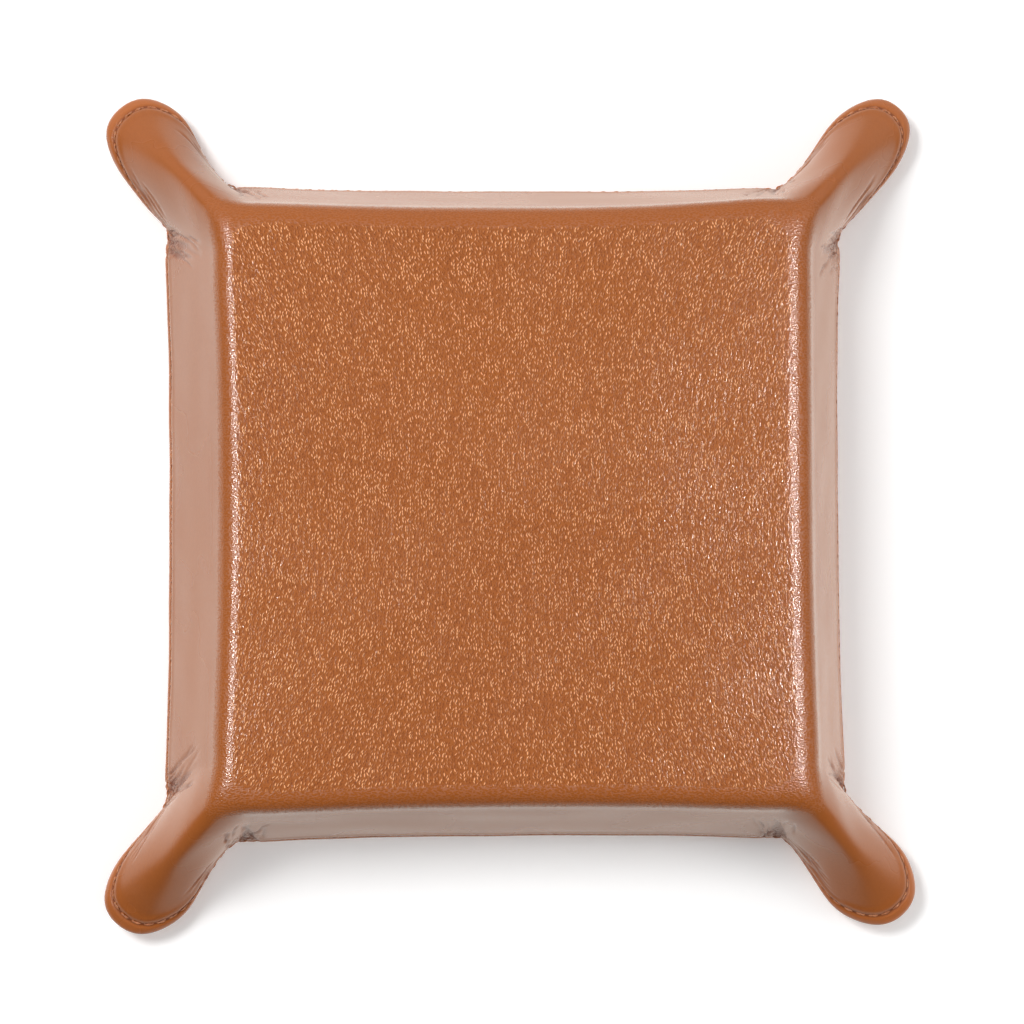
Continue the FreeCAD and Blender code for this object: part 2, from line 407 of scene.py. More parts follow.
def up_places(lines, spacing, foot, rim):
    """Places up a wall, closer together at its rounded foot and near the rim."""
    wall = surface(lines, np.array([0.0]), FINE)[:, 0]
    length = path_length(wall)
    spacing = foot + (spacing - foot) * ease((length - foot_zone) / zone_fade)
    near = ease((length[-1] - length - rim_zone) / rim_zone_fade)
    return spread(wall, rim + (spacing - rim) * near)


def height_place(lines, height):
    """Where up a surface its wall reaches a height."""
    return np.interp(height, surface(lines, np.array([0.0]), FINE)[:, 0, 2], FINE)


def normals(points):
    """Unit normals of a grid of points, outward for rows that run up the outside."""
    out = np.cross(np.gradient(points, axis=1), np.gradient(points, axis=0))
    return out / np.maximum(np.linalg.norm(out, axis=-1, keepdims=True), 1e-9)


# Folds in the leather

def fold(offset, width, run, first, last, fade):
    """A narrow furrow: offset is across it and run along it, with ends that fade out."""
    return bump(offset, width) * ease((run - first) / fade) * ease((last - run) / fade)


def crease_offsets(points, around):
    """How far round from each of the two creases the points lie."""
    length = path_length(points.transpose(1, 0, 2)).T
    columns = [np.argmin(abs(around - crease)) for crease in CREASES]
    return [length - length[:, column:column + 1] for column in columns]


def crease_puckers(points, around, seed):
    """Depth of the fine folds that fan out where a wall's end is pinched against the ear."""
    depth = np.zeros(points.shape[:2])
    rise = points[..., 2] / wall_height
    rng = np.random.default_rng(seed)
    for offset in crease_offsets(points, around):
        wander = crease_wander * np.sin(points[..., 2] * rng.uniform(0.7, 1.1) + rng.uniform(0, 6))
        depth += crease_depth * fold(offset + 0.4 * wander, crease_half_width, rise, *crease_run)
        for _ in range(pinch_folds):
            foot = rng.uniform(-pinch_reach, pinch_reach)
            lean = rng.uniform(-pinch_lean, pinch_lean)
            line = foot * (pinch_foot + (1 - pinch_foot) * rise)
            line = line + lean * (1 - rise) + wander * rng.uniform(-1, 1)
            first = rng.uniform(*pinch_start)
            depth += rng.uniform(*pinch_depth) * fold(offset - line, rng.uniform(*pinch_width), rise,
                                                      first, first + rng.uniform(*pinch_length), pinch_fade)
    return depth


def neck_wrinkles(points, around, below_rim, seed):
    """Depth of the long folds that run beside the rim where an ear narrows to its neck."""
    depth = np.zeros(points.shape[:2])
    rng = np.random.default_rng(seed)
    for offset, outward in zip(crease_offsets(points, around), (1, -1)):
        run = outward * offset
        for _ in range(neck_folds):
            first = rng.uniform(*neck_start)
            last = first + rng.uniform(*neck_length)
            line = rng.uniform(*neck_below_rim) + neck_lean * rng.uniform(-1, 1) * (run - first)
            line = line + neck_wander * np.sin(run * rng.uniform(0.4, 0.8) + rng.uniform(0, 6))
            depth += rng.uniform(*neck_depth) * fold(below_rim - line, rng.uniform(*neck_width), run,
                                                     first, last, neck_fade)
    return depth


def pinch(points, around, below_rim):
    """How near a point is to the notch at a wall's end: 1 beside it and 0 a few millimetres off."""
    offset = np.minimum(*(abs(offset) for offset in crease_offsets(points, around)))
    return bump(offset, cracked_reach) * bump(below_rim - cracked_depth, cracked_depth)


def soft_waves(points, size, seed):
    """A smooth uneven height over points, about -1 to 1, with waves of the size given."""
    rng = np.random.default_rng(seed)
    total = np.zeros(points.shape[:-1])
    for _ in range(10):
        way = rng.normal(size=3)
        way *= 2 * math.pi / (size * rng.uniform(0.7, 1.6) * np.linalg.norm(way))
        total += np.sin(points @ way + rng.uniform(0, 6.3))
    return total / 4


# Meshes

def all_round(quarter):
    """Grids made for each ear's quarter, mirrored to their corners and joined into one that goes round."""
    joined = []
    for number, ear in enumerate(ears):
        rows, marks = quarter(ear, number)
        rows = np.concatenate([rows * (ear.x, ear.y, 1), marks], axis=-1)
        joined.append((rows[:, ::-1] if number % 2 else rows)[:, :-1])
    return np.concatenate(joined, axis=1)


def cap(ring, spacing, upward):
    """Fills a flat ring of points: returns the new points inside it, and its triangles."""
    reach = np.abs(ring[:, :2]).max(axis=1).min() - spacing / 2
    steps = np.linspace(-reach, reach, round(2 * reach / spacing) + 1)
    inside = np.array([(x, y) for y in steps for x in steps])
    flat = [Vector(place) for place in np.concatenate([ring[:, :2], inside])]
    _, _, triangles, origins, _, _ = delaunay_2d_cdt(flat, [], [list(range(len(ring)))], 1, 1e-5)
    index = [origin[0] for origin in origins]
    points = np.column_stack([inside, np.full(len(inside), ring[0, 2])])
    order = 1 if upward else -1
    return points, [[index[corner] for corner in triangle][::order] for triangle in triangles]


def shell_object(name, grid, mark_names):
    """A closed skin: a grid whose rows run up its outside, over its edge and down its inside."""
    rows, columns, _ = grid.shape
    points = [grid[..., :3].reshape(-1, 3)]
    marks = [grid[..., 3:].reshape(rows * columns, -1)]
    column = np.arange(columns)
    faces = []
    for row in range(rows - 1):
        low, high = row * columns, (row + 1) * columns
        after = (column + 1) % columns
        faces += np.column_stack([low + column, low + after, high + after, high + column]).tolist()
    total = rows * columns
    for row, upward in ((0, False), (rows - 1, True)):
        ring = grid[row, :, :3]
        inside, triangles = cap(ring, floor_spacing, upward)
        place = [*range(row * columns, (row + 1) * columns), *range(total, total + len(inside))]
        faces += [[place[corner] for corner in triangle] for triangle in triangles]
        points.append(inside)
        marks.append(np.zeros((len(inside), len(mark_names))))
        total += len(inside)
    return mesh_object(name, np.concatenate(points), faces, dict(zip(mark_names, np.concatenate(marks).T)))


def add_object(name, data):
    made = bpy.data.objects.new(name, data)
    bpy.context.scene.collection.objects.link(made)
    return made


def mesh_object(name, points, faces, marks=None):
    """A smooth-shaded mesh of points in millimetres, with a number at each point for each mark."""
    mesh = bpy.data.meshes.new(name)
    mesh.from_pydata((np.asarray(points) * MM).tolist(), [], faces)
    mesh.polygons.foreach_set("use_smooth", np.ones(len(mesh.polygons), bool))
    for label, values in (marks or {}).items():
        data = mesh.attributes.new(label, "FLOAT", "POINT").data
        data.foreach_set("value", np.ascontiguousarray(values, dtype=np.float32))
    mesh.validate()
    mesh.update()
    return add_object(name, mesh)


LEATHER_MARKS = ("fold", "groove", "edge", "pinch")
LEATHER_AROUND = around_places(wall_spacing, ear_spacing, crease_spacing)
LEATHER_UP = up_places(outer_lines(ears[0]), up_spacing, foot_spacing, rim_spacing)
SEAM_PLACE = height_place(outer_lines(ears[0]), wall_height - stitch_depth_below_rim)


def above(climb, place, up):
    """How much further up the wall than a place each point lies."""
    return climb - np.array([np.interp(place, up, column) for column in climb.T])


def swelling(from_seam, height, below, width):
    """A low ridge beside the seam."""
    return height * bump(from_seam + below, width)


def clear_of_seam(from_seam):
    """0 at the seam and 1 away from it."""
    return ease((abs(from_seam) - seam_clearance) / seam_fade)


def dressed_outside(ear, number):
    """The outside skin of one quarter with its seam groove and folds, and its marks."""
    points = surface(outer_lines(ear), LEATHER_AROUND, LEATHER_UP)
    climb = path_length(points)
    from_seam = above(climb, SEAM_PLACE, LEATHER_UP)
    below_rim = climb[-1] - climb
    groove = bump(from_seam, groove_width)
    swell = swelling(from_seam, *swell_below) + swelling(from_seam, *swell_above)
    folds = crease_puckers(points, LEATHER_AROUND, leather_crease_seed + number)
    folds += neck_wrinkles(points, LEATHER_AROUND, below_rim, neck_seed + number)
    clear = clear_of_seam(from_seam)
    folds = np.minimum(folds, deepest_fold) * clear
    depth = folds + groove_depth * groove - swell
    pinched = pinch(points, LEATHER_AROUND, below_rim) * clear
    marks = np.stack([folds, groove, ease(from_seam / rubbed_fade), pinched], axis=-1)
    return points - normals(points) * depth[..., None], marks


def leather_quarter(ear, number):
    """One quarter of the leather: outside, rim roll, hem and hidden face, with marks for its finish and for
    the painted shade in its folds and seam groove.
    """
    outside, outside_marks = dressed_outside(ear, number)
    roll = surface(roll_lines(ear), LEATHER_AROUND, np.linspace(0, 1, roll_rows))[1:-1]
    hem_lines = inner_lines(ear, edge_thickness)
    hem_end = height_place(hem_lines, wall_height - hem_depth)
    hem = surface(hem_lines, LEATHER_AROUND, np.linspace(1, hem_end, hem_rows))
    under_lines = inner_lines(ear, leather_thickness)
    under_end = height_place(under_lines, wall_height - hem_depth)
    under = surface(under_lines, LEATHER_AROUND, np.linspace(under_end, 0, hidden_rows))
    rows = np.concatenate([outside, roll, hem, under])
    marks = np.zeros(rows.shape[:2] + (len(LEATHER_MARKS),))
    marks[:len(outside)] = outside_marks
    marks[len(outside):len(outside) + len(roll) + len(hem), :, 2] = 1
    return rows, marks


def leather_piece():
    grid = all_round(leather_quarter)
    points = grid[..., :3]
    height = soft_waves(points, wave_size, wave_seed) * wave_height * ease(points[..., 2] / wave_grown_at)
    waves = normals(points) * height[..., None]
    points[:len(LEATHER_UP)] += waves[:len(LEATHER_UP)]
    return shell_object("tray_leather", grid, LEATHER_MARKS)


LINING_MARKS = ("fold", "groove", "edge")
LINING_AROUND = around_places(*lining_around_spacing)
LINING_UP = up_places(shown_lining_lines(ears[0]), *lining_up_spacing)
LINING_SEAM_PLACE = height_place(shown_lining_lines(ears[0]), wall_height - stitch_depth_below_rim)


def lining_quarter(ear, number):
    """One quarter of the lining: hidden face, cut edge and shown face, with marks for its finish and for
    the painted shade in its folds and seam groove.
    """
    hidden = surface(lining_lines(ear, 0), LINING_AROUND, np.linspace(0, 1, hidden_rows))
    shown = surface(shown_lining_lines(ear), LINING_AROUND, LINING_UP)
    from_seam = above(path_length(shown), LINING_SEAM_PLACE, LINING_UP)
    groove = bump(from_seam, lining_groove_width)
    folds = crease_puckers(shown, LINING_AROUND, lining_crease_seed + number)
    folds = np.minimum(folds, deepest_lining_fold) * lining_fold_share * clear_of_seam(from_seam)
    depth = lining_groove_depth * groove + folds - swelling(from_seam, *lining_swell)
    shown = shown + normals(shown) * depth[..., None]
    # The cut edge bulges a little between the two faces
    edge = hidden[-1:] + (shown[-1:] - hidden[-1:]) * np.array((0.15, 0.5, 0.85))[:, None, None]
    edge[..., 2] += np.array((0.1, 0.16, 0.1))[:, None]
    rows = np.concatenate([hidden, edge, shown[::-1]])
    marks = np.zeros(rows.shape[:2] + (len(LINING_MARKS),))
    marks[-len(shown):, :, 0] = folds[::-1]
    marks[-len(shown):, :, 1] = groove[::-1]
    marks[len(hidden):len(hidden) + len(edge), :, 2] = 1
    return rows, marks


def lining_piece():
    return shell_object("tray_lining", all_round(lining_quarter), LINING_MARKS)


# Seam

def twisted_stitch(start, finish, normal, rng):
    """Points and faces of one stitch of two twisted plies, bowed out of its two holes."""
    along = finish - start
    along /= np.linalg.norm(along)
    side = np.cross(normal, along)
    side /= np.linalg.norm(side)
    reach = stitch_length * rng.uniform(1 - stitch_length_vary, 1 + stitch_length_vary) / 2
    run = np.linspace(-1, 1, stitch_rings)
    slant = rng.uniform(-stitch_slant, stitch_slant)
    path = (start + finish) / 2 + np.outer(run * reach, along + slant * side)
    path += np.outer(-stitch_sink - stitch_dip * run ** 4, normal)
    points, faces = [], []
    phase = rng.uniform(0, math.pi)
    for ply in range(2):
        turn = phase + math.pi * ply + run * ply_half_twist
        centre = path + ply_offset * (np.outer(np.cos(turn), side) + np.outer(np.sin(turn), normal))
        slim = ply_radius * (1 - ply_taper * run ** 8)
        around = np.arange(ply_sides) * 2 * math.pi / ply_sides
        circle = np.cos(around)[:, None] * side + np.sin(around)[:, None] * normal
        first = len(points)
        points += list((centre[:, None] + slim[:, None, None] * circle).reshape(-1, 3))
        for low in range(first, first + (stitch_rings - 1) * ply_sides, ply_sides):
            high = low + ply_sides
            for corner in range(ply_sides):
                after = (corner + 1) % ply_sides
                faces.append((low + corner, low + after, high + after, high + corner))
        faces.append(tuple(range(first + ply_sides - 1, first - 1, -1)))
        faces.append(tuple(range(len(points) - ply_sides, len(points))))
    return points, faces


def at_stops(stops, length, values):
    """Points or directions along a line, read at stops on its length."""
    return np.stack([np.interp(stops, length, column) for column in values.T], axis=-1)


def seam_piece(name, lines_of, place, outward, seed):
    """The row of stitches on one face of the rim."""
    rng = np.random.default_rng(seed)
    points, faces = [], []
    for ear in ears:
        near = np.array((place - 0.004, place, place + 0.004))
        rows = surface(lines_of(ear), FINE, near)
        line, normal = rows[1], normals(rows)[1] * outward
        length = path_length(line)
        count = round(length[-1] / stitch_pitch)
        stops = np.linspace(0, length[-1], count + 1)
        holes = at_stops(stops, length, line)
        facing = at_stops((stops[1:] + stops[:-1]) / 2, length, normal)
        flip = np.array((ear.x, ear.y, 1))
        for start, finish, way in zip(holes * flip, holes[1:] * flip, facing * flip):
            more, quads = twisted_stitch(start, finish, way / np.linalg.norm(way), rng)
            faces += [tuple(len(points) + corner for corner in quad) for quad in quads]
            points += more
    return mesh_object(name, points, faces)


# Materials

# Patterns of the leather, in grains to the metre, and how far they are drawn out along X, Y and Z
sway_scale = 520.0
sway_reach = (0.0005, 0.0006, 0.0005)
pebble_scale = 1900.0
pebble_draw = (1.0, 0.62, 1.0)
small_grain_scale = 4400.0
pore_scale = 4200.0
bead_scale = 2900.0
bead_draw = (0.6, 1.0, 0.6)
crease_cells = (900.0, 85.0, 900.0)
crease_width = 0.075
wrinkle_cells = (800.0, 800.0, 800.0)
wrinkle_width = 0.11
patch_scale = 42.0
broad_scale = 14.0
# How much the grain's lines fan out towards the corners of the base
grain_fan = 78.0
# Painted highlights: short pale dashes on the base that stand in for glints, one to a cell and strongest
# along chains, each with a dash of painted shade beside it
fleck_cells = (1850.0, 1350.0, 0.0)
fleck_start = (0.3, 0.7, 0.0)
fleck_scatter = 0.85
fleck_slimness = (3.5, 1.7, 0.0)
fleck_lean = 1.3
fleck_shadow = (0.26, 0.08, 0.0)
chain_cells = (480.0, 110.0, 480.0)
chain_start = (0.0, 0.0, 0.4)
# How high the patterns stand, as shares of the bump's distance in metres
bump_distance = 0.0001
pebble_height = 0.25
crease_height = 0.07
small_grain_height = 0.09
pore_height = 0.14
bead_height = 0.4
wrinkle_height = -1.6
wall_roughness = 0.1
wrinkle_roughness = 0.4
# Heights over the underside, in metres, between which the leather's finish changes
flat_ends = (0.000004, 0.00015)
base_ends = (0.00002, 0.00012)
edge_begins = (0.00002, 0.0001)
edge_ends = (0.0025, 0.0045)
wall_begins = (0.003, 0.008)
# Patterns of the lining, the thread and the boards
nap_scale = 2600.0
stroke_scale = (90.0, 260.0, 160.0)
suede_patch_scale = 36.0
fibre_scale = 6000.0
thread_patch_scale = 420.0
board_fleck_scale = 900.0
board_patch_scale = 60.0
# The range that most of a noise lies in
NOISE = (0.3, 0.7)
ATTRIBUTE_FACTOR = 2


def new_material(name):
    made = bpy.data.materials.new(name)
    made.use_nodes = True
    tree = made.node_tree
    return made, tree, tree.nodes["Principled BSDF"]


def connect(tree, shader, base_colour, roughness, normal):
    for name, value in (("Base Color", base_colour), ("Roughness", roughness), ("Normal", normal)):
        tree.links.new(value, shader.inputs[name])


def node(tree, kind, inputs=None, output=0, **settings):
    """Adds a node, sets or links its inputs, and returns one of its outputs."""
    made = tree.nodes.new("ShaderNode" + kind)
    for name, value in settings.items():
        setattr(made, name, value)
    for name, value in (inputs or {}).items():
        if isinstance(value, bpy.types.NodeSocket):
            tree.links.new(value, made.inputs[name])
        else:
            made.inputs[name].default_value = value
    return made.outputs[output]


def math_node(tree, operation, *values, clamp=False):
    return node(tree, "Math", dict(enumerate(values)), operation=operation, use_clamp=clamp)


def times(tree, first, second):
    return math_node(tree, "MULTIPLY", first, second)


def times_plus(tree, first, second, more):
    return math_node(tree, "MULTIPLY_ADD", first, second, more)


def vector(tree, operation, *values, output=0):
    return node(tree, "VectorMath", dict(enumerate(values)), output, operation=operation)


def split(tree, place):
    return node(tree, "SeparateXYZ", {"Vector": place}).node.outputs


def scaled(tree, place, scale, start=(0.0, 0.0, 0.0)):
    return node(tree, "Mapping", {"Vector": place, "Location": start, "Scale": scale})


def remap(tree, value, low, high, to_low=0.0, to_high=1.0):
    """A value eased from one range to another."""
    return node(tree, "MapRange", {"Value": value, "From Min": low, "From Max": high,
                                   "To Min": to_low, "To Max": to_high}, interpolation_type="SMOOTHSTEP")


def blend(tree, share, first, second):
    """A mix of two colours."""
    made = tree.nodes.new("ShaderNodeMix")
    made.data_type = "RGBA"
    for socket, value in ((made.inputs[0], share), (made.inputs[6], first), (made.inputs[7], second)):
        if isinstance(value, bpy.types.NodeSocket):
            tree.links.new(value, socket)
        else:
            socket.default_value = value
    return made.outputs[2]


def layered(tree, ground, layers):
    """A colour with others laid over it, each by its share."""
    for share, over in layers:
        ground = blend(tree, share, ground, over)
    return ground


def noise(tree, place, scale, detail, output=0):
    return node(tree, "TexNoise", {"Vector": place, "Scale": scale, "Detail": detail}, output)


def bump_map(tree, height, distance, strength):
    return node(tree, "Bump", {"Height": height, "Distance": distance, "Strength": strength})


def mark(tree, name):
    return node(tree, "Attribute", attribute_name=name, output=ATTRIBUTE_FACTOR)


def object_place(tree):
    return node(tree, "TexCoord", output="Object")


def colour(red, green, blue):
    return (red, green, blue, 1.0)


def grain_domes(tree, place, scale):
    """Low domes packed side by side, 1 at their tops and 0 in the cracks between."""
    apart = node(tree, "TexVoronoi", {"Vector": place, "Scale": scale}, feature="F1")
    slope = times(tree, apart, 1.35)
    return math_node(tree, "SUBTRACT", 1.0, times(tree, slope, slope), clamp=True)


def cell_edges(tree, place, cells, start=(0.0, 0.0, 0.0)):
    """How far a place is from the edges of a pattern of cells, so many to the metre each way."""
    return node(tree, "TexVoronoi", {"Vector": scaled(tree, place, cells, start), "Scale": 1.0},
                feature="DISTANCE_TO_EDGE")


def fanned_out(tree, place):
    """Coordinates whose lines of equal X spread towards the corners, as the stretched grain does."""
    x, y, z = split(tree, place)
    spread_by = times_plus(tree, times(tree, y, y), grain_fan, 1.0)
    return node(tree, "CombineXYZ", {0: math_node(tree, "DIVIDE", x, spread_by), 1: y, 2: z})


def grain_flecks(tree, place):
    """A dash of painted shade and a bright dash of painted highlight, standing in for a glint, for each
    grain of the base, of a strength of its own.
    """
    cells = scaled(tree, place, fleck_cells, fleck_start)
    grains = node(tree, "TexVoronoi", {"Vector": cells, "Scale": 1.0, "Randomness": fleck_scatter},
                  voronoi_dimensions="2D").node.outputs
    strength, tilt, _ = split(tree, grains["Color"])
    offset = vector(tree, "SUBTRACT", cells, grains["Position"])
    across, along, _ = split(tree, offset)
    lean = times(tree, math_node(tree, "SUBTRACT", tilt, 0.5), fleck_lean)
    leaning = node(tree, "CombineXYZ", {0: times_plus(tree, along, lean, across), 1: along})

    def dash(aside, least, most):
        sized = vector(tree, "MULTIPLY", vector(tree, "SUBTRACT", leaning, aside), fleck_slimness)
        apart = vector(tree, "LENGTH", sized, output="Value")
        return times(tree, remap(tree, apart, 0.15, 1.0, 1.0, 0.0),
                     remap(tree, strength, 0.0, 1.0, least, most))

    return dash(fleck_shadow, 0.7, 1.0), dash((0.0, 0.0, 0.0), 0.0, 0.85)


def leather_grain(tree):
    """The leather's patterns, and masks for the flat base, its rounded edge and the pinched notches."""
    place = object_place(tree)
    sway = noise(tree, place, sway_scale, 2.0, "Color")
    sway = vector(tree, "SUBTRACT", sway, (0.5, 0.5, 0.5))
    swayed = vector(tree, "MULTIPLY_ADD", sway, sway_reach, place)
    drawn = scaled(tree, swayed, pebble_draw)
    beaded = scaled(tree, place, bead_draw)
    fan = fanned_out(tree, swayed)
    _, _, lift = split(tree, place)
    wrinkles = remap(tree, cell_edges(tree, swayed, wrinkle_cells), 0.0, wrinkle_width, 1.0, 0.0)
    return SimpleNamespace(
        fan=fan, lift=lift,
        pebble=grain_domes(tree, drawn, pebble_scale),
        small=grain_domes(tree, swayed, small_grain_scale),
        beads=grain_domes(tree, beaded, bead_scale),
        pores=noise(tree, place, pore_scale, 2.0),
        patches=noise(tree, place, patch_scale, 3.0),
        broad=noise(tree, place, broad_scale, 2.0),
        creases=remap(tree, cell_edges(tree, fan, crease_cells), 0.0, crease_width, 1.0, 0.0),
        wrinkles=times(tree, wrinkles, mark(tree, "pinch")),
        on_flat=remap(tree, lift, *flat_ends, 1.0, 0.0),
        on_base=remap(tree, lift, *base_ends, 1.0, 0.0),
        on_edge=times(tree, remap(tree, lift, *edge_begins), remap(tree, lift, *edge_ends, 1.0, 0.0)))


def leather_bump(tree, grain):
    """Pebbles and creases on the base, pores all over, beads on its edge and cracks at the notches."""
    coarse = times_plus(tree, grain.pebble, pebble_height, times(tree, grain.creases, crease_height))
    coarse = times(tree, coarse, remap(tree, grain.patches, *NOISE, 0.8, 1.15))
    coarse = times(tree, coarse, times_plus(tree, grain.on_base, 0.9, 0.1))
    fine = times_plus(tree, grain.small, small_grain_height, times(tree, grain.pores, pore_height))
    fine = times(tree, fine, times_plus(tree, grain.on_base, 0.1, 0.9))
    height = math_node(tree, "ADD", coarse, fine)
    height = times_plus(tree, times(tree, grain.beads, grain.on_edge), bead_height, height)
    height = times_plus(tree, grain.wrinkles, wrinkle_height, height)
    return bump_map(tree, height, bump_distance, 1.0)


def leather_colour(tree, grain):
    """Tan that varies from grain to grain, flecked on the base with painted glints and painted shade, with
    painted shade darkening the folds, the cracks at the notches and the seam groove, and rubbed on the rim.
    """
    tone = math_node(tree, "SUBTRACT", grain.pebble, 0.6)
    tone = times(tree, tone, times_plus(tree, grain.on_flat, 0.35, 0.1))
    tone = math_node(tree, "ADD", tone, times_plus(tree, grain.on_flat, 0.03, 0.85))
    speckle = times(tree, math_node(tree, "SUBTRACT", grain.pores, 0.5), grain.on_flat)
    tone = times_plus(tree, speckle, 2.4, tone)
    tan = blend(tree, tone, colour(0.190, 0.042, 0.006), colour(0.385, 0.106, 0.018))
    broad = remap(tree, grain.broad, 0.35, 0.65, 0.0, 0.3)
    # Painted highlight and painted shade: each grain of the base gets a pale dash for a glint and a dark
    # dash of shade beside it.
    shade, fleck = grain_flecks(tree, grain.fan)
    chains = cell_edges(tree, grain.fan, chain_cells, chain_start)
    fleck = times(tree, fleck, remap(tree, chains, 0.02, 0.24, 1.9, 0.75))
    # Painted shade: the colour darkens in the folds, in the cracks at the pinched notches and in the seam
    # groove.
    folds = remap(tree, mark(tree, "fold"), 0.02, 0.4, 0.0, 0.7)
    groove = remap(tree, mark(tree, "groove"), 0.25, 1.0, 0.0, 0.8)
    rubbed = times(tree, mark(tree, "edge"), remap(tree, grain.patches, *NOISE, 0.35, 0.8))
    return layered(tree, tan, ((broad, colour(0.395, 0.112, 0.019)),
                               (times(tree, shade, grain.on_flat), colour(0.17, 0.034, 0.004)),
                               (times(tree, fleck, grain.on_flat), colour(0.88, 0.42, 0.19)),
                               (folds, colour(0.20, 0.042, 0.010)),
                               (grain.wrinkles, colour(0.17, 0.04, 0.015)),
                               (groove, colour(0.15, 0.030, 0.008)),
                               (rubbed, colour(0.47, 0.135, 0.032))))


def leather_roughness(tree, grain):
    """Satin, duller on the walls, between the beads of the rounded edge and where it is cracked."""
    sheen = remap(tree, grain.patches, *NOISE, 0.15, 0.19)
    sheen = math_node(tree, "ADD", sheen, remap(tree, grain.lift, *wall_begins, 0.0, wall_roughness))
    dull = times(tree, remap(tree, grain.beads, 0.2, 0.75, 0.3, -0.05), grain.on_edge)
    dull = times_plus(tree, grain.wrinkles, wrinkle_roughness, dull)
    return math_node(tree, "ADD", dull, sheen)


def leather_material():
    made, tree, shader = new_material("tan_leather")
    grain = leather_grain(tree)
    connect(tree, shader, leather_colour(tree, grain), leather_roughness(tree, grain),
            leather_bump(tree, grain))
    return made


def lining_material():
    """Short-napped suede: soft mottled colour, painted shade in its folds and seam groove, and a pale sheen
    at the edges of folds.
    """
    made, tree, shader = new_material("lining_suede")
    place = object_place(tree)
    nap = noise(tree, place, nap_scale, 4.0)
    strokes = noise(tree, scaled(tree, place, stroke_scale), 1.0, 4.0)
    patches = noise(tree, place, suede_patch_scale, 3.0)
    tone = times_plus(tree, strokes, 0.5, times(tree, patches, 0.5))
    suede = blend(tree, remap(tree, tone, 0.36, 0.64),
                  colour(0.32, 0.125, 0.048), colour(0.46, 0.205, 0.090))
    # Painted shade: the lining's folds and seam groove are darkened in the colour.
    creased = colour(0.2, 0.07, 0.025)
    suede = layered(tree, suede, ((remap(tree, nap, *NOISE, 0.0, 0.35), colour(0.25, 0.090, 0.032)),
                                  (remap(tree, mark(tree, "fold"), 0.02, 0.25, 0.0, 0.5), creased),
                                  (remap(tree, mark(tree, "groove"), 0.3, 1.0, 0.0, 0.6), creased),
                                  (mark(tree, "edge"), colour(0.34, 0.14, 0.055))))
    fur = bump_map(tree, times_plus(tree, strokes, 0.6, nap), 0.00012, 0.7)
    connect(tree, shader, suede, remap(tree, patches, *NOISE, 0.82, 0.95), fur)
    for name, value in (("Sheen Weight", 0.35), ("Sheen Roughness", 0.4),
                        ("Sheen Tint", colour(0.95, 0.75, 0.6)), ("Specular IOR Level", 0.25)):
        shader.inputs[name].default_value = value
    return made


def thread_material():
    """Waxed thread, close to the leather's colour, with paler fibres."""
    made, tree, shader = new_material("sewing_thread")
    place = object_place(tree)
    fibres = noise(tree, place, fibre_scale, 2.0)
    patches = noise(tree, place, thread_patch_scale, 1.0)
    thread = blend(tree, remap(tree, fibres, 0.35, 0.65),
                   colour(0.36, 0.105, 0.030), colour(0.52, 0.19, 0.07))
    thread = blend(tree, remap(tree, patches, 0.4, 0.65, 0.0, 0.6), thread, colour(0.58, 0.24, 0.10))
    connect(tree, shader, thread, remap(tree, fibres, *NOISE, 0.34, 0.5),
            bump_map(tree, fibres, 0.00003, 0.6))
    return made


def board_material():
    """Pressed fibre board: grey-brown, flecked and matte."""
    made, tree, shader = new_material("stiffener_board")
    place = object_place(tree)
    flecks = noise(tree, place, board_fleck_scale, 5.0)
    patches = noise(tree, place, board_patch_scale, 2.0)
    board = blend(tree, remap(tree, flecks, 0.35, 0.65),
                  colour(0.30, 0.25, 0.19), colour(0.48, 0.42, 0.33))
    board = blend(tree, remap(tree, patches, *NOISE, 0.0, 0.4), board, colour(0.40, 0.33, 0.24))
    connect(tree, shader, board, remap(tree, flecks, *NOISE, 0.75, 0.95),
            bump_map(tree, flecks, 0.0001, 0.6))
    return made


def dress(piece, finish, nodes, slot):
    """Gives a piece its finish, and puts it in the place of the nodes it stands for."""
    piece.data.materials.append(finish)
    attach(piece, "root")
    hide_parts(*nodes)


# Stage, light and camera

sheet_reach = 6000.0
floor_height = -0.1
backdrop_height = wall_height + 0.3
backdrop_half_hole = 55.0
sheet_own_light = 0.18
# How far from the tray's middle, in metres, a sheet's shadow fades out and its reflection darkens
shadow_fades = (0.13, 0.3)
card_fades = (0.14, 0.26)
# How bright a sheet is in reflections, across the tray's two ends and across its two sides
end_card_levels = (1.3, 1.03)
side_card_levels = (1.53, 1.36)
card_middle = (-0.06, 0.06)
card_join = (-0.02, 0.02)
world_level = 0.5


